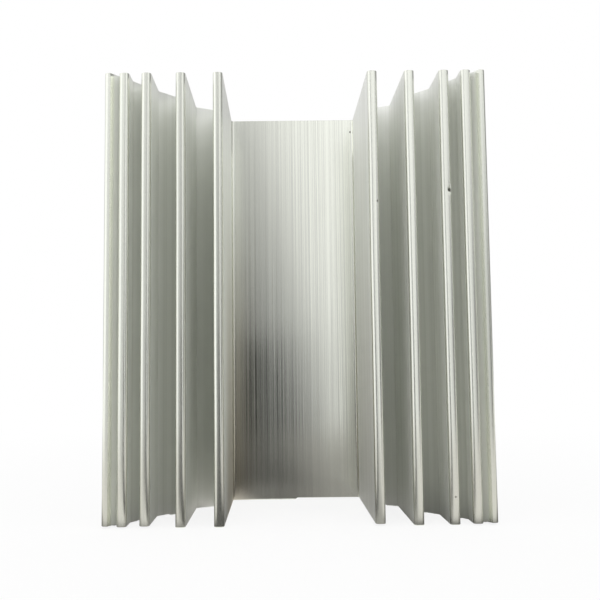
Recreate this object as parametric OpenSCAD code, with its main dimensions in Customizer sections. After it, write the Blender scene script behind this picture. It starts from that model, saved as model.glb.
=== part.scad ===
// Extruded aluminium heat sink: one straight extrusion, cut to length.
// A flat mounting pad lies at the bottom of a wide centre channel. On each
// side a web rises from the pad to the plane of the fin tips, and carries
// parallel fins whose tips all end in that plane, so they get shorter outwards.
// The extrusion stands on one cut end, with its fin tips towards -Y.

/* [Overall] */
// Length of the extrusion, from cut end to cut end
length = 100; // [20:1:300]

/* [Centre channel] */
// Clear width of the channel between its two side fins
channel_w = 32.4; // [27:0.2:50]
// Depth of the channel, from the fin tips to its floor
channel_d = 36.8; // [34:0.2:42]
// Thickness of the mounting pad behind the channel floor
pad_t = 3.2; // [2.4:0.1:6]

/* [Fins] */
// Thickness of every fin
fin_t = 2.2; // [1.6:0.1:2.8]
// Gap between the first fin, at the channel, and the second
gap_1 = 6.1; // [4.5:0.1:7.5]
// Gap between the second fin and the third
gap_2 = 5.5; // [4:0.1:6.5]
// Gap between the third fin and the fourth
gap_3 = 2.7; // [2:0.1:3.5]
// Radius on the corners of every fin tip
tip_r = 0.75; // [0.3:0.05:0.8]
// Radius where a gap's floor meets the fins
root_r = 0.5; // [0.2:0.05:0.7]

/* [Web] */
// Least thickness of the web, at the foot of each fin
web_t = 2.9; // [2.2:0.1:3.6]
// How far the back of the web bows in from a straight line
back_bow = 1; // [0.3:0.1:2]
// Radius where the back of the web turns into the back of the pad
back_r = 2; // [0.5:0.1:4]
// Tilt of the floor of the first gap
tilt_1 = 29; // [20:1:40]
// Tilt of the floor of the second gap
tilt_2 = 49; // [40:1:54]
// Tilt of the floor of the third gap
tilt_3 = 57; // [48:1:60]

/* [Outer edges] */
// Width of each outer edge, outside the fourth fin
edge_w = 3.2; // [2.6:0.1:4]
// Width of the flat top of the outer edge
edge_top = 1.3; // [1:0.1:1.6]
// Depth of the outer edge's side face
edge_d = 3; // [2.4:0.1:4]

/* [Hidden] */
$fn = 64;

// The section is drawn with x across the width from the middle, and y as the
// depth behind the plane of the fin tips.
depth = channel_d + pad_t;
gaps = [gap_1, gap_2, gap_3];
tilts = [tilt_1, tilt_2, tilt_3];

// Inner face of fin i, counted outwards from the channel
function fin_x(i) = i == 0 ? channel_w / 2 : fin_x(i - 1) + fin_t + gaps[i - 1];

fin_count = len(gaps) + 1;
half_w = fin_x(fin_count - 1) + fin_t + edge_w;

// Back of the web: one arc from the pad's back corner to the outer edge. Its
// centre lies behind and outside the section.
pad_corner = [channel_w / 2 + pad_t, depth];
edge_corner = [half_w, edge_d];
chord = norm(edge_corner - pad_corner);
chord_dir = (edge_corner - pad_corner) / chord;
back_radius = (chord * chord / 4 + back_bow * back_bow) / (2 * back_bow);
back_centre = (pad_corner + edge_corner) / 2
    + [-chord_dir.y, chord_dir.x] * (back_radius - back_bow);

// Depth of the web's front at x, on an arc that lies web_t in front of the back
function root_y(x) = back_centre.y
    - sqrt(pow(back_radius + web_t, 2) - pow(x - back_centre.x, 2));

// How far each cutting shape stands out past the plane of the fin tips
over = 1;

// Gap between two upright faces. Its floor falls from y_out, at x_out, towards
// x_in by the tilt, and a radius rounds both of its corners.
module gap_cut(x_in, x_out, y_out, tilt, r) {
    drop = function (x) y_out + (x_out - x) * tan(tilt) - r / cos(tilt);
    c_out = [x_out - r, drop(x_out - r)];
    c_in = [x_in + r, drop(x_in + r)];
    foot = r * [sin(tilt), cos(tilt)];
    polygon([
        [x_in, -over], [x_out, -over],
        [x_out, c_out.y], c_out + foot,
        c_in + foot, [x_in, c_in.y]
    ]);
    translate(c_out) circle(r);
    translate(c_in) circle(r);
}

// Spandrel that rounds one corner of a fin tip; side is 1 where the fin lies
// at greater x than the corner, and -1 where it lies at smaller x
module tip_cut(x, side) {
    difference() {
        translate([min(x, x + side * tip_r), -over]) square([tip_r, tip_r + over]);
        translate([x + side * tip_r, tip_r]) circle(tip_r);
    }
}

// Notch between the fourth fin and the outer edge, upright at the fin and
// sloping up to the flat top of the edge
module edge_notch() {
    x = fin_x(fin_count - 1) + fin_t;
    top = half_w - edge_top;
    polygon([[x, -over], [top, -over], [top, 0], [x + root_r / 2, root_y(x)], [x, root_y(x)]]);
}

// Curved back of the web, with a radius at the pad's back corner
module back_cut() {
    r = back_r;
    c = [
        back_centre.x - sqrt(pow(back_radius + r, 2) - pow(depth - r - back_centre.y, 2)),
        depth - r
    ];
    foot = c + (back_centre - c) * r / (back_radius + r);
    translate(back_centre) circle(back_radius, $fn = 720);
    difference() {
        polygon([[c.x, depth + over], [c.x, c.y], foot, [foot.x + over, foot.y], [foot.x + over, depth + over]]);
        translate(c) circle(r);
    }
}

// Everything cut away on one side of the middle
module side_cuts() {
    for (i = [0:fin_count - 2])
        gap_cut(fin_x(i) + fin_t, fin_x(i + 1), root_y(fin_x(i + 1)), tilts[i], root_r);
    for (i = [0:fin_count - 1]) {
        tip_cut(fin_x(i), 1);
        tip_cut(fin_x(i) + fin_t, -1);
    }
    tip_cut(half_w, -1);
    edge_notch();
    back_cut();
}

module section() {
    difference() {
        translate([-half_w, 0]) square([2 * half_w, depth]);
        gap_cut(-channel_w / 2, channel_w / 2, channel_d, 0, root_r);
        side_cuts();
        mirror([1, 0]) side_cuts();
    }
}

module heat_sink() {
    color([0.80, 0.81, 0.79])
        linear_extrude(length)
            translate([0, -depth / 2])
                section();
}

heat_sink();
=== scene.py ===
"""Finish of an extruded aluminium heat sink: its section, its die-drawn skin and its sawn ends."""

import math

import bmesh
import bpy
from mathutils import Matrix, Vector


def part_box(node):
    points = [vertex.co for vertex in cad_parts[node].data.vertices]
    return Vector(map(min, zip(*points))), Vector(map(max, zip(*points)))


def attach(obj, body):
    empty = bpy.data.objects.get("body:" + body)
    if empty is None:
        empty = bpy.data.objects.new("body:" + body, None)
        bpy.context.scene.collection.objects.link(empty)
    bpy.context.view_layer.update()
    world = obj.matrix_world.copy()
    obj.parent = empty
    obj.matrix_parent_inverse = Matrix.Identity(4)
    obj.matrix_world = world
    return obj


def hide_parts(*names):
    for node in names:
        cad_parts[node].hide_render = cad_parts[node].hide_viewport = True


bl_info = {
    "name": "Extruded Heat Sink",
    "version": (1, 0, 0),
    "blender": (4, 5, 0),
    "location": "View3D > Sidebar > Heat Sink",
    "description": "Builds a finned aluminium extrusion with drawn faces and sawn ends, and its studio stage",
    "category": "Object",
}

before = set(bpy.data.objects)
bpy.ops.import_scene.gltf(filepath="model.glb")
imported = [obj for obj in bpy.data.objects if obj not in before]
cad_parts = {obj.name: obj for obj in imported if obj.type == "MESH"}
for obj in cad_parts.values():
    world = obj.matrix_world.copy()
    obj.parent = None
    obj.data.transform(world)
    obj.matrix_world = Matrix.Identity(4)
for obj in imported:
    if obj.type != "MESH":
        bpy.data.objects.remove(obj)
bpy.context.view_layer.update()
NODE = "heat_sink"
LOW, HIGH = (Vector(corner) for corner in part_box(NODE))
MM = 0.001
WHITE = (1.0, 1.0, 1.0, 1.0)
BLACK = (0.0, 0.0, 0.0, 1.0)


# ---------------------------------------------------------------- node graphs


class Value:
    """An output socket that takes part in arithmetic and adds the Math nodes for it."""

    def __init__(self, graph, socket):
        self.graph = graph
        self.socket = socket

    def output(self, name):
        """Another output of the same node."""
        return Value(self.graph, self.socket.node.outputs[name])

    def math(self, operation, *operands):
        return self.graph.node("ShaderNodeMath", {"operation": operation}, dict(enumerate(operands)))

    def __add__(self, other):
        return self.math("ADD", self, other)

    def __radd__(self, other):
        return self.math("ADD", other, self)

    def __sub__(self, other):
        return self.math("SUBTRACT", self, other)

    def __rsub__(self, other):
        return self.math("SUBTRACT", other, self)

    def __mul__(self, other):
        return self.math("MULTIPLY", self, other)

    def __rmul__(self, other):
        return self.math("MULTIPLY", other, self)

    def __truediv__(self, other):
        return self.math("DIVIDE", self, other)

    def __rtruediv__(self, other):
        return self.math("DIVIDE", other, self)

    def __mod__(self, other):
        return self.math("MODULO", self, other)

    def __gt__(self, other):
        return self.math("GREATER_THAN", self, other)

    def __lt__(self, other):
        return self.math("LESS_THAN", self, other)

    def absolute(self):
        return self.math("ABSOLUTE", self)

    def floor(self):
        return self.math("FLOOR", self)

    def clamp(self):
        """The value held between 0 and 1."""
        return self.graph.node("ShaderNodeClamp", {}, {"Value": self})

    def ramp(self, low, high):
        """0 below low and 1 above high, with a smooth step between them."""
        return self.graph.node(
            "ShaderNodeMapRange",
            {"interpolation_type": "SMOOTHSTEP"},
            {"Value": self, "From Min": low, "From Max": high},
        )


class Graph:
    """A node tree that is being written."""

    def __init__(self, tree):
        self.tree = tree
        tree.nodes.clear()

    def node(self, kind, settings, sockets, out=0):
        """Adds a node: its settings first, then its sockets' values or links. Returns one output."""
        node = self.tree.nodes.new(kind)
        for name, setting in settings.items():
            setattr(node, name, setting)
        for key, value in sockets.items():
            if isinstance(value, Value):
                self.tree.links.new(value.socket, node.inputs[key])
            else:
                node.inputs[key].default_value = value
        return Value(self, node.outputs[out]) if node.outputs else None

    def vector(self, operation, *operands, out=0):
        """A Vector Math node."""
        return self.node("ShaderNodeVectorMath", {"operation": operation}, dict(enumerate(operands)), out)

    def xyz(self, vector):
        """The three parts of a vector."""
        parts = self.node("ShaderNodeSeparateXYZ", {}, {0: vector})
        return parts, parts.output("Y"), parts.output("Z")

    def tint(self, factor, low, high):
        """A colour mixed from two, of which each is a colour or an output.

        The Mix node's colours are its inputs 6 and 7 and its output 2.
        """
        return self.node("ShaderNodeMix", {"data_type": "RGBA"}, {0: factor, 6: low, 7: high}, out=2)


def rgba(colour):
    return (*colour, 1.0)


# ---------------------------------------------------------------- sizes and finish


def size(name, default_mm, description):
    """A length property, in metres, with its default written in millimetres."""
    return bpy.props.FloatProperty(
        name=name,
        description=description,
        default=default_mm * MM,
        subtype="DISTANCE",
        unit="LENGTH",
        precision=5,
    )


def angle(name, default_degrees, description):
    return bpy.props.FloatProperty(
        name=name,
        description=description,
        default=math.radians(default_degrees),
        subtype="ANGLE",
        unit="ROTATION",
    )


def watts(name, default, description):
    return bpy.props.FloatProperty(name=name, description=description, default=default, unit="POWER")


def share(name, default, description):
    return bpy.props.FloatProperty(name=name, description=description, default=default, subtype="FACTOR")


def colour(name, default, description):
    return bpy.props.FloatVectorProperty(
        name=name, description=description, default=default, size=3, subtype="COLOR", min=0.0, max=1.0
    )


class SectionSizes(bpy.types.PropertyGroup):
    """Sizes of the extrusion's section. Its width, depth and length are the frame's."""

    channel_width: size("Channel Width", 32.4, "Clear width of the centre channel")
    channel_depth: size("Channel Depth", 36.8, "Depth from the fin tips to the channel floor")
    fin: size("Fin Thickness", 2.2, "Thickness of every fin")
    gap_1: size("First Gap", 6.1, "Gap between the first fin and the second")
    gap_2: size("Second Gap", 5.5, "Gap between the second fin and the third")
    gap_3: size("Third Gap", 2.7, "Gap between the third fin and the fourth")
    tilt_1: angle("First Tilt", 29, "Tilt of the first gap's floor")
    tilt_2: angle("Second Tilt", 49, "Tilt of the second gap's floor")
    tilt_3: angle("Third Tilt", 57, "Tilt of the third gap's floor")
    tip_radius: size("Tip Radius", 0.8, "Radius on the corners of a fin tip")
    root_radius: size("Root Radius", 0.5, "Radius where a gap's floor meets a fin")
    web: size("Web Thickness", 2.9, "Least thickness of the web at a fin's foot")
    back_bow: size("Back Bow", 1.0, "How far the back of the web bows in")
    back_radius: size("Back Radius", 2.0, "Radius where the back of the web meets the pad")
    edge_top: size("Edge Top", 1.3, "Width of the outer edge's flat top")
    edge_depth: size("Edge Depth", 3.0, "Depth of the outer edge's side face")
    step: size("Outline Step", 0.7, "Longest step between two points of the outline")


class EndSizes(bpy.types.PropertyGroup):
    """Sizes of what drawing and sawing leave on the extrusion."""

    chamfer: size("End Chamfer", 0.08, "Break of the edge round each sawn end")
    relief: size("Draw Relief", 0.012, "Deepest of the shallow waves that the die leaves along the faces")
    relief_width: size("Draw Relief Width", 2.4, "Width of those waves")
    sway: size("Fin Sway", 0.12, "How far a fin tip wanders sideways along the length")
    rings: bpy.props.IntProperty(
        name="Rings", description="Rings of points along the length", default=40, min=6
    )


class FinishSettings(bpy.types.PropertyGroup):
    """Colours and gloss of the aluminium."""

    metal: colour("Aluminium", (0.93, 0.94, 0.91), "Colour of the fins' sides and the gaps' floors")
    face: colour("Bright Aluminium", (0.93, 0.95, 0.87), "Colour of the channel's floor and the tips")
    dull: colour("Dull Aluminium", (0.70, 0.71, 0.66), "Colour along dull die lines")
    cut: colour("Sawn Aluminium", (0.56, 0.57, 0.56), "Colour of the sawn ends, rough enough to be dull")
    mark: colour("Saw Mark", (0.42, 0.43, 0.42), "Colour of the deeper saw marks")
    # Painted reflection: a darker, browner colour that stands in for a dark warm reflection low on the
    # channel's left.
    painted_reflection: colour("Painted Reflection", (0.52, 0.48, 0.40), "Colour of the tarnish low on the channel's left")
    # Colour of the nicks, much darker than the metal round them.
    darkening: colour("Nick", (0.16, 0.16, 0.13), "Colour of the dirt that nicks hold")
    roughness: share("Roughness", 0.58, "Roughness of the fins' sides and the gaps' floors")
    channel_roughness: share("Channel Roughness", 0.19, "Roughness of the channel's bright floor")
    tip_roughness: share("Tip Roughness", 0.24, "Roughness of the fin tips, which handling polishes")
    anisotropy: share("Anisotropy", 0.5, "How far the gloss spreads across the die lines")
    line_depth: size("Die Line Depth", 0.009, "Depth of the die lines")


class StageSettings(bpy.types.PropertyGroup):
    """The studio round the part."""

    paper: colour("Paper", (0.93, 0.93, 0.93), "Colour of the floor")
    floor_size: size("Floor Size", 4000, "Side of the floor")
    bounces: bpy.props.IntProperty(
        name="Bounces", description="How many times light may pass between the fins", default=20, min=4
    )
    left_power: watts("Left Power", 0.6, "Power of the left light")
    top_power: watts("Top Power", 7.0, "Power of the top light")
    lens: bpy.props.FloatProperty(name="Lens", description="Focal length in millimetres", default=49.1)


def settings():
    """The scene's settings of this part."""
    scene = bpy.context.scene
    return scene.sink_section, scene.sink_ends, scene.sink_finish, scene.sink_stage


# ---------------------------------------------------------------- section outline


def arc(centre, radius, start, end, steps=8):
    """Points of an arc from one angle to another, in radians."""
    angles = [start + (end - start) * step / steps for step in range(steps + 1)]
    return [Vector((centre[0] + radius * math.cos(a), centre[1] + radius * math.sin(a))) for a in angles]


def refined(points, step):
    """The closed outline with points added, so that no straight run of it is longer than a step."""
    result = []
    for here, there in zip(points, points[1:] + points[:1]):
        parts = max(1, math.ceil((there - here).length / step))
        result += [here.lerp(there, part / parts) for part in range(parts)]
    return result


class Section:
    """The section's outline, with x across the width and y as the depth behind the fin tips."""

    def __init__(self, sizes):
        self.sizes = sizes
        self.half_width = HIGH.x
        self.depth = HIGH.y - LOW.y
        self.gaps = [sizes.gap_1, sizes.gap_2, sizes.gap_3]
        self.tilts = [sizes.tilt_1, sizes.tilt_2, sizes.tilt_3]
        self.fins = [sizes.channel_width / 2]
        for gap in self.gaps:
            self.fins.append(self.fins[-1] + sizes.fin + gap)
        pad_corner = Vector((self.fins[0] + self.depth - sizes.channel_depth, self.depth))
        edge_corner = Vector((self.half_width, sizes.edge_depth))
        chord = edge_corner - pad_corner
        self.back_radius = (chord.length_squared / 4 + sizes.back_bow**2) / (2 * sizes.back_bow)
        across = Vector((-chord.y, chord.x)).normalized()
        self.back_centre = (pad_corner + edge_corner) / 2 + across * (self.back_radius - sizes.back_bow)
        self.edge_corner = edge_corner

    def root(self, x):
        """Depth of the web's front at x."""
        reach = self.back_radius + self.sizes.web
        return self.back_centre.y - math.sqrt(reach**2 - (x - self.back_centre.x) ** 2)

    def tip(self, x):
        """Rounded tip of the fin whose inner face is at x."""
        radius = self.sizes.tip_radius
        inner, outer = x + radius, x + self.sizes.fin - radius
        corner = arc((inner, radius), radius, math.pi, 1.5 * math.pi)
        return corner + arc((outer, radius), radius, -0.5 * math.pi, 0)

    def gap_floor(self, index):
        """Sloping floor of a gap, with a radius at both ends."""
        radius, tilt = self.sizes.root_radius, self.tilts[index]
        inner, outer = self.fins[index] + self.sizes.fin, self.fins[index + 1]

        def centre(x):
            rise = (outer - x) * math.tan(tilt) - radius / math.cos(tilt)
            return (x, self.root(outer) + rise)

        lean = math.pi / 2 - tilt
        deep_end = arc(centre(inner + radius), radius, math.pi, lean)
        return deep_end + arc(centre(outer - radius), radius, lean, 0)

    def edge(self):
        """Notch outside the fourth fin, and the outer edge's flat top and side."""
        sizes = self.sizes
        x = self.fins[-1] + sizes.fin
        floor = self.root(x)
        radius = sizes.tip_radius
        corner = arc((self.half_width - radius, radius), radius, -math.pi / 2, 0)
        notch = [Vector((x, floor)), Vector((x + sizes.root_radius / 2, floor))]
        return notch + [Vector((self.half_width - sizes.edge_top, 0))] + corner + [self.edge_corner]

    def back(self):
        """Curved back of the web, and the radius that leads to the pad's back."""
        radius = self.sizes.back_radius
        level = self.depth - radius
        reach = self.back_radius + radius
        x = self.back_centre.x - math.sqrt(reach**2 - (level - self.back_centre.y) ** 2)
        centre = Vector((x, level))
        towards = self.back_centre - centre
        foot = centre + towards * radius / reach
        spokes = [corner - self.back_centre for corner in (self.edge_corner, foot)]
        start, end = (math.atan2(spoke.y, spoke.x) % math.tau for spoke in spokes)
        web = arc(self.back_centre, self.back_radius, start, end, steps=24)[1:]
        return web + arc(centre, radius, math.atan2(towards.y, towards.x), math.pi / 2)[1:]

    def outline(self):
        """The whole closed outline, in the frame's own x and y."""
        sizes = self.sizes
        radius = sizes.root_radius
        half = arc((self.fins[0] - radius, sizes.channel_depth - radius), radius, math.pi / 2, 0)
        for index, x in enumerate(self.fins):
            half += self.tip(x)
            half += self.gap_floor(index) if index < len(self.gaps) else self.edge()
        half += self.back()
        other = [Vector((-point.x, point.y)) for point in reversed(half)]
        return [Vector((point.x, point.y + LOW.y)) for point in refined(half + other, sizes.step)]


# ---------------------------------------------------------------- extrusion tree


# Distance within which points are joined, at the walls' seam and round the sawn ends.
WELD = 0.002 * MM

# Least upright part of a normal that belongs to a sawn end.
END_NORMAL = 0.9


def extrusion_tree():
    """Geometry Nodes that draw a closed outline of points out to its length and close its ends."""
    tree = bpy.data.node_groups.new("draw_section", "GeometryNodeTree")
    tree.is_modifier = True
    interface = tree.interface
    interface.new_socket("Outline", in_out="INPUT", socket_type="NodeSocketGeometry")
    for name in ("Length", "Chamfer", "Relief", "Relief Width", "Sway"):
        interface.new_socket(name, in_out="INPUT", socket_type="NodeSocketFloat")
    interface.new_socket("Rings", in_out="INPUT", socket_type="NodeSocketInt")
    interface.new_socket("Seed", in_out="INPUT", socket_type="NodeSocketInt")
    for name in ("Drawn Face", "Sawn End"):
        interface.new_socket(name, in_out="INPUT", socket_type="NodeSocketMaterial")
    interface.new_socket("Extrusion", in_out="OUTPUT", socket_type="NodeSocketGeometry")

    graph = Graph(tree)
    given = graph.node("NodeGroupInput", {}, {})
    length, chamfer, rings = (given.output(name) for name in ("Length", "Chamfer", "Rings"))
    outline = shallow_relief(graph, given)
    inset = graph.node(
        "GeometryNodeSetPosition", {}, {"Geometry": outline, "Offset": inward(graph, outline, chamfer)}
    )
    walls = drawn_walls(graph, outline, inset, length, chamfer, rings)
    caps = [sawn_cap(graph, inset, 0.0, True), sawn_cap(graph, inset, length, False)]

    joined = graph.node("GeometryNodeJoinGeometry", {}, {})
    for part in (walls, *caps):
        tree.links.new(part.socket, joined.socket.node.inputs[0])
    welded = graph.node("GeometryNodeMergeByDistance", {}, {"Geometry": joined, "Distance": WELD})
    swayed = fin_sway(graph, welded, given)
    uneven = saw_rise(graph, swayed, outline, chamfer)
    real = graph.node("GeometryNodeRealizeInstances", {}, {"Geometry": uneven})
    drawn = graph.node(
        "GeometryNodeSetMaterial", {}, {"Geometry": real, "Material": given.output("Drawn Face")}
    )
    upright = graph.xyz(graph.node("GeometryNodeInputNormal", {}, {}))[2].absolute()
    coated = graph.node(
        "GeometryNodeSetMaterial",
        {},
        {"Geometry": drawn, "Selection": upright > END_NORMAL, "Material": given.output("Sawn End")},
    )
    graph.node("NodeGroupOutput", {}, {"Extrusion": coated})
    return tree


def point_at(graph, geometry, index):
    """Position of one of a geometry's points."""
    position = graph.node("GeometryNodeInputPosition", {}, {})
    return graph.node(
        "GeometryNodeSampleIndex",
        {"data_type": "FLOAT_VECTOR", "domain": "POINT"},
        {"Geometry": geometry, "Value": position, "Index": index},
    )


def point_count(graph, geometry):
    return graph.node("GeometryNodeAttributeDomainSize", {"component": "MESH"}, {"Geometry": geometry})


def inward(graph, outline, distance):
    """Offset of each outline point towards the inside, at right angles to the outline."""
    index = graph.node("GeometryNodeInputIndex", {}, {})
    count = point_count(graph, outline)
    after = point_at(graph, outline, (index + 1) % count)
    before = point_at(graph, outline, (index + count - 1) % count)
    along = graph.vector("NORMALIZE", graph.vector("SUBTRACT", after, before))
    across = graph.vector("CROSS_PRODUCT", (0.0, 0.0, 1.0), along)
    return scaled(graph, across, distance)


def scaled(graph, vector, factor):
    return graph.node("ShaderNodeVectorMath", {"operation": "SCALE"}, {0: vector, "Scale": factor})


def shallow_relief(graph, given):
    """The outline with the shallow waves of the die, which only ever go inwards."""
    position = graph.node("GeometryNodeInputPosition", {}, {})
    scale = 1 / given.output("Relief Width")
    noise = graph.node(
        "ShaderNodeTexNoise",
        {"noise_dimensions": "4D"},
        {"Vector": position, "W": given.output("Seed"), "Scale": scale, "Detail": 2.0},
    )
    depth = noise * given.output("Relief")
    return graph.node(
        "GeometryNodeSetPosition", {}, {"Geometry": given, "Offset": inward(graph, given, depth)}
    )


def drawn_walls(graph, outline, inset, length, chamfer, rings):
    """A grid of points, one column for each point of the outline and one row for each ring."""
    count = point_count(graph, outline)
    grid = graph.node("GeometryNodeMeshGrid", {}, {"Vertices X": count + 1, "Vertices Y": rings})
    index = graph.node("GeometryNodeInputIndex", {}, {})
    column = (index / rings).floor() % count
    ring = index % rings
    first, last = 1 - ring.clamp(), (ring - rings + 2).clamp()
    between = ((ring - 1) / (rings - 3)).clamp()
    height = (1 - first) * chamfer + between * (length - 2 * chamfer) + last * chamfer
    # The Mix node's vectors are its inputs 4 and 5 and its output 1.
    side = graph.node(
        "ShaderNodeMix",
        {"data_type": "VECTOR"},
        {0: first + last, 4: point_at(graph, outline, column), 5: point_at(graph, inset, column)},
        out=1,
    )
    upright = graph.node("ShaderNodeCombineXYZ", {}, {"Z": height})
    place = graph.vector("ADD", side, upright)
    return graph.node("GeometryNodeSetPosition", {}, {"Geometry": grid, "Position": place})


def sawn_cap(graph, inset, height, downwards):
    """One sawn end: the outline filled and lifted to its height."""
    curve = graph.node("GeometryNodeMeshToCurve", {}, {"Mesh": inset})
    filled = graph.node("GeometryNodeFillCurve", {}, {"Curve": curve})
    if downwards:
        filled = graph.node("GeometryNodeFlipFaces", {}, {"Mesh": filled})
    lift = graph.node("ShaderNodeCombineXYZ", {}, {"Z": height})
    return graph.node("GeometryNodeSetPosition", {}, {"Geometry": filled, "Offset": lift})


# How many waves of the fins' sway a metre holds, across the section and along the length.
WAVES_ACROSS = 90
WAVES_ALONG = 22

# Share of the depth over which the sway dies out behind the tips.
SWAY_REACH = 0.6

# Distances from the middle between which the sway fades away, so that the outer edges keep still.
FADE_FROM, FADE_TO = 0.85 * HIGH.x, 0.95 * HIGH.x


def fin_sway(graph, walls, given):
    """Lets the fins wander sideways a little along the length, most at their tips and not at the edges."""
    x, y, z = graph.xyz(graph.node("GeometryNodeInputPosition", {}, {}))
    tip = 1 - y.ramp(LOW.y, LOW.y + SWAY_REACH * (HIGH.y - LOW.y))
    inside = 1 - x.absolute().ramp(FADE_FROM, FADE_TO)
    place = graph.node("ShaderNodeCombineXYZ", {}, {"X": x * WAVES_ACROSS, "Z": z * WAVES_ALONG})
    noise = graph.node(
        "ShaderNodeTexNoise",
        {"noise_dimensions": "4D"},
        {"Vector": place, "W": given.output("Seed"), "Scale": 1.0, "Detail": 1.0},
    )
    offset = (noise - 0.5) * 2 * given.output("Sway") * tip * inside
    shift = graph.node("ShaderNodeCombineXYZ", {}, {"X": offset})
    return graph.node("GeometryNodeSetPosition", {}, {"Geometry": walls, "Offset": shift})


def saw_rise(graph, walls, outline, chamfer):
    """Lifts the lower end where the saw left a fin a little short."""
    position = graph.node("GeometryNodeInputPosition", {}, {})
    flat = graph.vector("MULTIPLY", position, (1.0, 1.0, 0.0))
    nearest = graph.node(
        "GeometryNodeSampleNearest", {"domain": "POINT"}, {"Geometry": outline, "Sample Position": flat}
    )
    named = graph.node("GeometryNodeInputNamedAttribute", {"data_type": "FLOAT"}, {"Name": "rise"})
    rise = graph.node(
        "GeometryNodeSampleIndex",
        {"data_type": "FLOAT", "domain": "POINT"},
        {"Geometry": outline, "Value": named, "Index": nearest},
    )
    # Only the end itself and the far side of its chamfer lie as low as this.
    low = graph.xyz(position)[2] < chamfer * 1.5
    lift = graph.node("ShaderNodeCombineXYZ", {}, {"Z": rise})
    return graph.node(
        "GeometryNodeSetPosition", {}, {"Geometry": walls, "Selection": low, "Offset": lift}
    )


# ---------------------------------------------------------------- aluminium


def new_material(name):
    material = bpy.data.materials.new(name)
    material.use_nodes = True
    return material, Graph(material.node_tree)


def stretched_noise(graph, place, width, run, detail, seed):
    """Noise whose streaks are as wide as width and run along the length as far as run."""
    mapped = graph.node(
        "ShaderNodeMapping", {}, {"Vector": place, "Scale": (1 / width, 1 / width, 1 / run)}
    )
    return graph.node(
        "ShaderNodeTexNoise",
        {"noise_dimensions": "4D"},
        {"Vector": mapped, "W": seed, "Scale": 1.0, "Detail": detail, "Roughness": 0.6},
    )


# Streaks of the skin: their width, how far they run along the length, their detail and their seed.
BANDS = (1.7 * MM, 900 * MM, 2.0, 3.0)
LINES = (0.4 * MM, 900 * MM, 1.0, 11.0)
SCORES = (0.2 * MM, 70 * MM, 1.0, 23.0)
CLOUD = (9 * MM, 26 * MM, 3.0, 7.0)

# How far the channel's finish reaches past its sides, behind its floor and in front of its floor.
PAST_SIDES, BEHIND_FLOOR, BEFORE_FLOOR = 0.4 * MM, 0.3 * MM, 0.6 * MM

# Distances behind the tips' plane between which their polish fades out, past their rounded corners.
POLISH_FROM, POLISH_TO = 0.6 * MM, 1.4 * MM

# Where the painted reflection fades out, a darker and browner colour that stands in for a dark warm
# reflection low on the channel's left: from the channel's left side to its middle, upwards, and towards the
# tips.
PAINTED_REFLECTION_LEFT, PAINTED_REFLECTION_MIDDLE = -16.4 * MM, -7 * MM
PAINTED_REFLECTION_LOW, PAINTED_REFLECTION_TOP = 0, 90 * MM
PAINTED_REFLECTION_TIPS, PAINTED_REFLECTION_DEEP = -19 * MM, 0


def drawn_aluminium(finish, section):
    """Mill-finish skin: die lines along the length, faint bands, cloudy dull patches, a painted reflection
    low on the channel's left, and nicks.

    The channel's floor and the fin tips are brighter and smoother than the fins' sides.
    """
    material, graph = new_material("drawn_aluminium")
    place = graph.node("ShaderNodeTexCoord", {}, {}, out="Object")
    x, y, z = graph.xyz(place)
    floor_level = LOW.y + section.channel_depth
    in_channel = (x.absolute() < section.channel_width / 2 + PAST_SIDES) * (y < floor_level + BEHIND_FLOOR)
    on_floor = in_channel * (y > floor_level - BEFORE_FLOOR)
    on_tip = 1 - y.ramp(LOW.y + POLISH_FROM, LOW.y + POLISH_TO)
    streaks = (stretched_noise(graph, place, *streak) for streak in (BANDS, LINES, SCORES, CLOUD))
    bands, lines, scores, cloud = streaks

    # The lines show less on the fins than on the channel's floor.
    weight = 0.2 + 0.6 * on_floor
    drawn = (lines.ramp(0.36, 0.64) - 0.5) * weight
    broad = bands.ramp(0.3, 0.7) - 0.5
    scored = scores.ramp(0.6, 0.72) * weight
    dullness = (0.2 + drawn * 0.45 + scored * 0.4 + broad * 0.3 + (cloud - 0.5) * 0.3).clamp()
    # Painted reflection: low on the channel's left, the colour is painted darker and browner in place of a
    # dark warm reflection.
    low_left = (1 - x.ramp(PAINTED_REFLECTION_LEFT, PAINTED_REFLECTION_MIDDLE)) * (1 - z.ramp(PAINTED_REFLECTION_LOW, PAINTED_REFLECTION_TOP))
    painted_reflection = 0.8 * in_channel * low_left * y.ramp(PAINTED_REFLECTION_TIPS, PAINTED_REFLECTION_DEEP)

    tone = graph.tint((on_floor + on_tip).clamp(), rgba(finish.metal), rgba(finish.face))
    tone = graph.tint(dullness, tone, rgba(finish.dull))
    tone = graph.tint(painted_reflection, tone, rgba(finish.painted_reflection))
    tone = graph.tint(nick_mask(graph, place), tone, rgba(finish.darkening))

    rough = finish.roughness - (finish.roughness - finish.channel_roughness) * on_floor
    rough = rough - (finish.roughness - finish.tip_roughness) * on_tip
    rough = rough + drawn * 0.1 + scored * 0.06 + (cloud - 0.5) * 0.05
    height = (bands * 0.4 + lines * 0.5 * weight + scores * 0.12 * weight) * (1 - on_tip)
    relief = graph.node(
        "ShaderNodeBump", {}, {"Strength": 1.0, "Distance": finish.line_depth, "Height": height}
    )
    shader = graph.node(
        "ShaderNodeBsdfPrincipled",
        {},
        {
            "Base Color": tone,
            "Metallic": 1.0,
            "Roughness": rough,
            "Anisotropic": finish.anisotropy,
            "Normal": relief,
        },
    )
    graph.node("ShaderNodeOutputMaterial", {}, {"Surface": shader})
    return material


def nick_mask(graph, place):
    """1 in the small nicks, whose colour is darker."""
    mask = 0.0
    for spot, radius in NICKS:
        mask = mask + (1 - graph.vector("DISTANCE", place, spot, out="Value").ramp(0.4 * radius, radius))
    return mask.clamp()


# Saw marks: how far they are turned, how many waves a metre holds along and across them, their depth.
MARK_TURN = math.radians(6)
MARK_WAVES = (60.0, 2400.0, 1.0)
MARK_DEPTH = 0.02 * MM


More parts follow.
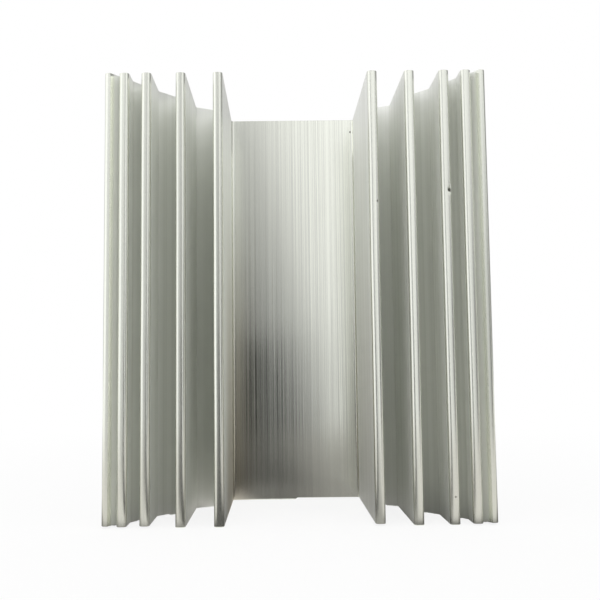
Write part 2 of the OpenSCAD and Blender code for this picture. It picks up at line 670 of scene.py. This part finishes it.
def sawn_aluminium(finish):
    """Cut end: straight, uneven saw marks across the section."""
    material, graph = new_material("sawn_aluminium")
    place = graph.node("ShaderNodeTexCoord", {}, {}, out="Object")
    turn = (0.0, 0.0, MARK_TURN)
    mapped = graph.node(
        "ShaderNodeMapping", {}, {"Vector": place, "Rotation": turn, "Scale": MARK_WAVES}
    )
    marks = graph.node("ShaderNodeTexNoise", {}, {"Vector": mapped, "Scale": 1.0, "Detail": 3.0})
    tone = graph.tint(marks.ramp(0.4, 0.7), rgba(finish.cut), rgba(finish.mark))
    relief = graph.node("ShaderNodeBump", {}, {"Strength": 1.0, "Distance": MARK_DEPTH, "Height": marks})
    shader = graph.node(
        "ShaderNodeBsdfPrincipled",
        {},
        {"Base Color": tone, "Metallic": 1.0, "Roughness": 0.3 + marks * 0.2, "Normal": relief},
    )
    graph.node("ShaderNodeOutputMaterial", {}, {"Surface": shader})
    return material


# ---------------------------------------------------------------- operators


# Seed of the noises behind the die's waves and the fins' sway.
SEED = 4

# Faces that meet at a sharper turn than this keep a hard edge between them.
SHARP_TURN = math.radians(35)

# Depth of a nick as a share of its radius.
NICK_DEPTH = 0.45

# Cuts in each edge that passes near a nick, and how near that is in radii.
NICK_CUTS = 7
NICK_REACH = 1.5

# Nicks on the right-hand fins and at the channel's top right corner: where they are and their radius.
NICKS = [
    ((33.85 * MM, -19.7 * MM, 72.7 * MM), 0.6 * MM),
    ((34.05 * MM, -19.5 * MM, 87.4 * MM), 0.3 * MM),
    ((34.0 * MM, -19.5 * MM, 83.8 * MM), 0.28 * MM),
    ((34.1 * MM, -19.5 * MM, 89.2 * MM), 0.22 * MM),
    ((17.9 * MM, -19.8 * MM, 70.4 * MM), 0.3 * MM),
    ((33.4 * MM, -19.8 * MM, 6.0 * MM), 0.35 * MM),
    ((15.5 * MM, 16.8 * MM, 96.7 * MM), 0.3 * MM),
]

# How far short of the lowest fin the saw left each outer edge and fin, from left to right.
SAW_RISE = [0.45 * MM, 0.3 * MM, 0.4 * MM, 0.0, 0.0, 0.45 * MM, 0.0, 0.1 * MM, 0.3 * MM, 0.45 * MM]


def rise_at(point, section):
    """Rise of the lower end at a point of the outline: that of the fin or edge nearest to it."""
    ribs = [x + section.sizes.fin / 2 for x in section.fins]
    ribs.append(section.half_width - section.sizes.edge_top / 2)
    centres = [-x for x in reversed(ribs)] + ribs
    nearest = min(range(len(centres)), key=lambda index: abs(centres[index] - point.x))
    return SAW_RISE[nearest]


def set_input(modifier, tree, name, value):
    """Sets a modifier's input by its socket's identifier."""
    for item in tree.interface.items_tree:
        if item.item_type == "SOCKET" and item.in_out == "INPUT" and item.name == name:
            modifier[item.identifier] = value
            return
    raise ValueError(f"no input called {name}")


def plain_mesh(piece, name):
    """The evaluated piece as a plain mesh, without its modifiers."""
    depsgraph = bpy.context.evaluated_depsgraph_get()
    mesh = bpy.data.meshes.new_from_object(piece.evaluated_get(depsgraph), depsgraph=depsgraph)
    mesh.name = name
    piece.modifiers.clear()
    piece.data = mesh
    return mesh


class SINK_OT_extrusion(bpy.types.Operator):
    """Draws the finned section out to its length and replaces the plain solid"""

    bl_idname = "sink.extrusion"
    bl_label = "Extrusion"

    def execute(self, context):
        sizes, ends, finish, _ = settings()
        section = Section(sizes)
        outline = section.outline()
        mesh = bpy.data.meshes.new("outline")
        count = len(outline)
        mesh.from_pydata(
            [(point.x, point.y, 0.0) for point in outline], [(i, (i + 1) % count) for i in range(count)], []
        )
        rise = mesh.attributes.new("rise", "FLOAT", "POINT")
        rise.data.foreach_set("value", [rise_at(point, section) for point in outline])
        piece = bpy.data.objects.new("drawn_extrusion", mesh)
        context.scene.collection.objects.link(piece)

        tree = extrusion_tree()
        modifier = piece.modifiers.new("draw", "NODES")
        modifier.node_group = tree
        values = {
            "Length": HIGH.z - LOW.z,
            "Chamfer": ends.chamfer,
            "Relief": ends.relief,
            "Relief Width": ends.relief_width,
            "Sway": ends.sway,
            "Rings": ends.rings,
            "Seed": SEED,
            "Drawn Face": drawn_aluminium(finish, sizes),
            "Sawn End": sawn_aluminium(finish),
        }
        for name, value in values.items():
            set_input(modifier, tree, name, value)
        mesh = plain_mesh(piece, "drawn_extrusion")
        finish_mesh(mesh)
        mesh.set_sharp_from_angle(angle=SHARP_TURN)

        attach(piece, "root")
        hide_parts(NODE)
        return {"FINISHED"}


def finish_mesh(mesh):
    """Smooth faces whose normals all point out of the metal, with the nicks pressed in."""
    work = bmesh.new()
    work.from_mesh(mesh)
    bmesh.ops.recalc_face_normals(work, faces=work.faces)
    for spot, radius in NICKS:
        press_nick(work, Vector(spot), radius)
    for face in work.faces:
        face.smooth = True
    if any(not edge.is_manifold for edge in work.edges):
        raise RuntimeError("the extrusion isn't closed")
    work.to_mesh(mesh)
    work.free()


def press_nick(work, spot, radius):
    """Splits the faces round a spot and presses a shallow round nick into them."""
    near = [edge for edge in work.edges if passes_near(edge, spot, NICK_REACH * radius)]
    bmesh.ops.subdivide_edges(work, edges=near, cuts=NICK_CUTS, use_grid_fill=True)
    work.normal_update()
    for vertex in work.verts:
        share_out = (vertex.co - spot).length / radius
        if share_out < 1:
            vertex.co -= vertex.normal * NICK_DEPTH * radius * (1 - share_out**2)


def passes_near(edge, spot, reach):
    """Whether an edge comes closer to a spot than a reach."""
    start, end = (vertex.co for vertex in edge.verts)
    run = end - start
    along = max(0.0, min(1.0, (spot - start).dot(run) / run.length_squared))
    return (start + run * along - spot).length < reach


# ---------------------------------------------------------------- stage


def new_mesh_object(name, points, faces, material):
    mesh = bpy.data.meshes.new(name)
    mesh.from_pydata(points, [], faces)
    mesh.materials.append(material)
    thing = bpy.data.objects.new(name, mesh)
    bpy.context.scene.collection.objects.link(thing)
    return thing


def seen(graph):
    """1 where a ray comes from the camera, a gloss or a clear body, and 0 for soft light."""
    path = graph.node("ShaderNodeLightPath", {}, {}, out="Is Camera Ray")
    return (path + path.output("Is Glossy Ray") + path.output("Is Transmission Ray")).clamp()


# Distances from the part's middle between which the floor's shadow fades away.
SHADOW_FROM, SHADOW_TO = 0.06, 0.30


def paper_material(stage):
    """White floor that keeps a soft shadow near the part and runs out into the white round it."""
    material, graph = new_material("paper")
    place = graph.node("ShaderNodeTexCoord", {}, {}, out="Object")
    away = graph.vector("LENGTH", place, out="Value").ramp(SHADOW_FROM, SHADOW_TO)
    matte = graph.node("ShaderNodeBsdfDiffuse", {}, {"Color": rgba(stage.paper)})
    glow = graph.node("ShaderNodeEmission", {}, {"Color": WHITE})
    share_of_glow = seen(graph) * (0.85 + 0.15 * away)
    mixed = graph.node("ShaderNodeMixShader", {}, {0: share_of_glow, 1: matte, 2: glow})
    graph.node("ShaderNodeOutputMaterial", {}, {"Surface": mixed})
    return material


def white_world():
    """White all round for the camera, and softer for what it lights.

    For the gloss it's dimmer low at the right, low behind the part and straight above.
    """
    world = bpy.data.worlds.new("studio")
    bpy.context.scene.world = world
    world.use_nodes = True
    graph = Graph(world.node_tree)
    gloss = graph.node("ShaderNodeLightPath", {}, {}, out="Is Glossy Ray")
    x, y, z = graph.xyz(graph.node("ShaderNodeTexCoord", {}, {}, out="Generated"))
    rightwards = x.ramp(0.5, 0.8)
    right = 0.7 * rightwards * (1 - z.ramp(0.3, 0.9))
    behind = 0.4 * y.ramp(0.0, 0.5) * (1 - z.ramp(0.0, 0.8)) * (1 - rightwards)
    above = 0.25 * z.ramp(0.7, 1.0)
    strength = 0.7 + 0.3 * seen(graph) - (right + behind + above) * gloss
    light = graph.node("ShaderNodeBackground", {}, {"Color": graph.tint(strength, BLACK, WHITE)})
    graph.node("ShaderNodeOutputWorld", {}, {"Surface": light})


def soft_light(name, place, target, width, height, power):
    lamp = bpy.data.lights.new(name, "AREA")
    lamp.shape = "RECTANGLE"
    lamp.size = width
    lamp.size_y = height
    lamp.energy = power
    light = bpy.data.objects.new(name, lamp)
    light.location = place
    light.rotation_euler = (Vector(target) - Vector(place)).to_track_quat("-Z", "Y").to_euler()
    bpy.context.scene.collection.objects.link(light)


# The camera's place, how far it looks up, its roll, and its sideways shift as a share of the view.
CAMERA_PLACE = (-0.0043, -0.198, 0.0337)
CAMERA_TILT = math.radians(4.8)
CAMERA_ROLL = math.radians(-0.55)
CAMERA_SHIFT = 0.0372


def add_camera(stage):
    """Camera in front of the fins, a third of the way up and looking slightly up."""
    lens = bpy.data.cameras.new("camera")
    lens.lens = stage.lens
    lens.sensor_width = 36.0
    lens.shift_x = CAMERA_SHIFT
    lens.clip_start = 0.01
    camera = bpy.data.objects.new("camera", lens)
    bpy.context.scene.collection.objects.link(camera)
    place = Matrix.Translation(CAMERA_PLACE)
    pitch = Matrix.Rotation(math.radians(90) + CAMERA_TILT, 4, "X")
    roll = Matrix.Rotation(CAMERA_ROLL, 4, "Z")
    camera.matrix_world = place @ pitch @ roll
    bpy.context.scene.camera = camera


# Height of the lying cards above the floor.
CARD_LIFT = 0.2 * MM


def shade_card(name, corners, shade, light=(1.0, 1.0, 1.0)):
    """A card that only the gloss sees.

    Its shade gives how dark it is at x, y and z, and it's clear where that is next to nothing.
    """
    material, graph = new_material(name)
    place = graph.node("ShaderNodeTexCoord", {}, {}, out="Object")
    dark = shade(*graph.xyz(place))
    glow = graph.node("ShaderNodeEmission", {}, {"Color": graph.tint(dark, rgba(light), BLACK)})
    clear = graph.node("ShaderNodeBsdfTransparent", {}, {})
    mixed = graph.node("ShaderNodeMixShader", {}, {0: dark > 0.01, 1: clear, 2: glow})
    graph.node("ShaderNodeOutputMaterial", {}, {"Surface": mixed})
    material.cycles.emission_sampling = "NONE"
    card = new_mesh_object(name, corners, [(0, 1, 2, 3)], material)
    for ray in ("camera", "diffuse", "transmission", "volume_scatter", "shadow"):
        setattr(card, f"visible_{ray}", False)


def front_shade(x, y, z):
    """A tall dark body in front of the part, a dim wall at its right and a dim post at its left.

    All of them fade upwards.
    """
    body = x.ramp(-0.08, -0.032) * (1 - (x + 0.17 * z).ramp(0.01, 0.03)) * (1 - z.ramp(0.02, 0.4))
    body = body * (1 - 0.16 * z.ramp(0.046, 0.056))
    wall = 0.85 * x.ramp(0.05, 0.14) * (1 - z.ramp(0.0, 0.26)) * (1 - x.ramp(0.4, 0.6))
    post = 0.5 * x.ramp(-0.12, -0.1) * (1 - x.ramp(-0.084, -0.074)) * (1 - z.ramp(0.05, 0.3))
    return 1 - (1 - body) * (1 - wall) * (1 - post)


def floor_shade(x, y, z):
    """A dim floor before the part, darker under its front and its gaps.

    A dark strip widens from the channel towards the camera, with a table right of it and a paler side left.
    """
    strip = 0.91 * (x - 0.28 * y).ramp(-0.024, -0.012) * (1 - x.ramp(-0.004, 0.023))
    strip = strip * (1 - 0.14 * y.ramp(-0.03, 0.005))
    table = 0.65 * x.ramp(-0.016, 0.024) * (1 - x.ramp(0.4, 0.6))
    table = table * (1 - 0.55 * x.ramp(0.018, 0.032) * (1 - y.ramp(-0.028, -0.016)))
    side = 0.3 * x.ramp(-0.22, -0.14) * (1 - x.ramp(-0.04, -0.02))
    across = x.absolute()
    under = 0.15 * y.ramp(-0.026, -0.016) * (1 - across.ramp(0.045, 0.06))
    gaps = 0.7 * y.ramp(-0.032, -0.016) * across.ramp(0.018, 0.026) * (1 - across.ramp(0.045, 0.08))
    return 1 - (1 - strip) * (1 - table) * (1 - side) * (1 - under) * (1 - gaps)


def back_shade(x, y, z):
    """A dim table behind the part, darkest close to it."""
    return 0.45 * (1 - y.ramp(0.0, 0.5)) * (1 - x.absolute().ramp(0.1, 0.35))


def lying_corners(left, right, near, far):
    """Corners of a card that lies just above the floor."""
    return [(x, y, CARD_LIFT) for x, y in ((left, near), (right, near), (right, far), (left, far))]


def shade_cards():
    """Cards that the metal mirrors: one behind the camera, and two on the floor round the part."""
    left, right, front, top = -0.25, 0.6, -0.205, 0.35
    standing = [(left, front, 0), (right, front, 0), (right, front, top), (left, front, top)]
    shade_card("front_card", standing, front_shade)
    shade_card("floor_card", lying_corners(left, right, front, 0.0165), floor_shade, (1.0, 0.97, 0.93))
    shade_card("back_card", lying_corners(-0.4, 0.4, 0.021, 0.6), back_shade)


class SINK_OT_stage(bpy.types.Operator):
    """Sets up the white floor and surroundings, the shade cards, the soft lights and the camera"""

    bl_idname = "sink.stage"
    bl_label = "Stage"

    def execute(self, context):
        stage = settings()[3]
        context.scene.view_settings.view_transform = "Standard"
        # Light has to pass many times between two fins before it leaves a deep gap.
        context.scene.cycles.max_bounces = stage.bounces
        context.scene.cycles.glossy_bounces = stage.bounces
        half = stage.floor_size / 2
        corners = [(-half, -half, 0.0), (half, -half, 0.0), (half, half, 0.0), (-half, half, 0.0)]
        floor = new_mesh_object("floor", corners, [(0, 1, 2, 3)], paper_material(stage))
        white_world()
        shade_cards()
        # Each light's place, the point that it faces, its width and its height.
        soft_light("left_light", (-0.95, -0.7, 0.4), (0, 0, 0.05), 1.6, 1.0, stage.left_power)
        soft_light("top_light", (0, -0.45, 1.0), (0, 0, 0.08), 2.2, 1.4, stage.top_power)
        add_camera(stage)
        return {"FINISHED"}


class SINK_PT_sidebar(bpy.types.Panel):
    """Lists the steps and their settings"""

    bl_label = "Heat Sink"
    bl_idname = "SINK_PT_sidebar"
    bl_space_type = "VIEW_3D"
    bl_region_type = "UI"
    bl_category = "Heat Sink"

    def draw(self, context):
        for group in settings():
            box = self.layout.box()
            for name in group.__annotations__:
                box.prop(group, name)
        for step in STEPS:
            self.layout.operator(step.bl_idname)


GROUPS = {
    "sink_section": SectionSizes,
    "sink_ends": EndSizes,
    "sink_finish": FinishSettings,
    "sink_stage": StageSettings,
}
STEPS = (SINK_OT_extrusion, SINK_OT_stage)


def register():
    for name, group in GROUPS.items():
        bpy.utils.register_class(group)
        setattr(bpy.types.Scene, name, bpy.props.PointerProperty(type=group))
    for step in (*STEPS, SINK_PT_sidebar):
        bpy.utils.register_class(step)


def unregister():
    for step in (SINK_PT_sidebar, *reversed(STEPS)):
        bpy.utils.unregister_class(step)
    for name, group in reversed(GROUPS.items()):
        delattr(bpy.types.Scene, name)
        bpy.utils.unregister_class(group)


def main():
    register()
    bpy.ops.sink.extrusion()
    bpy.ops.sink.stage()


if __name__ == "__main__":
    main()
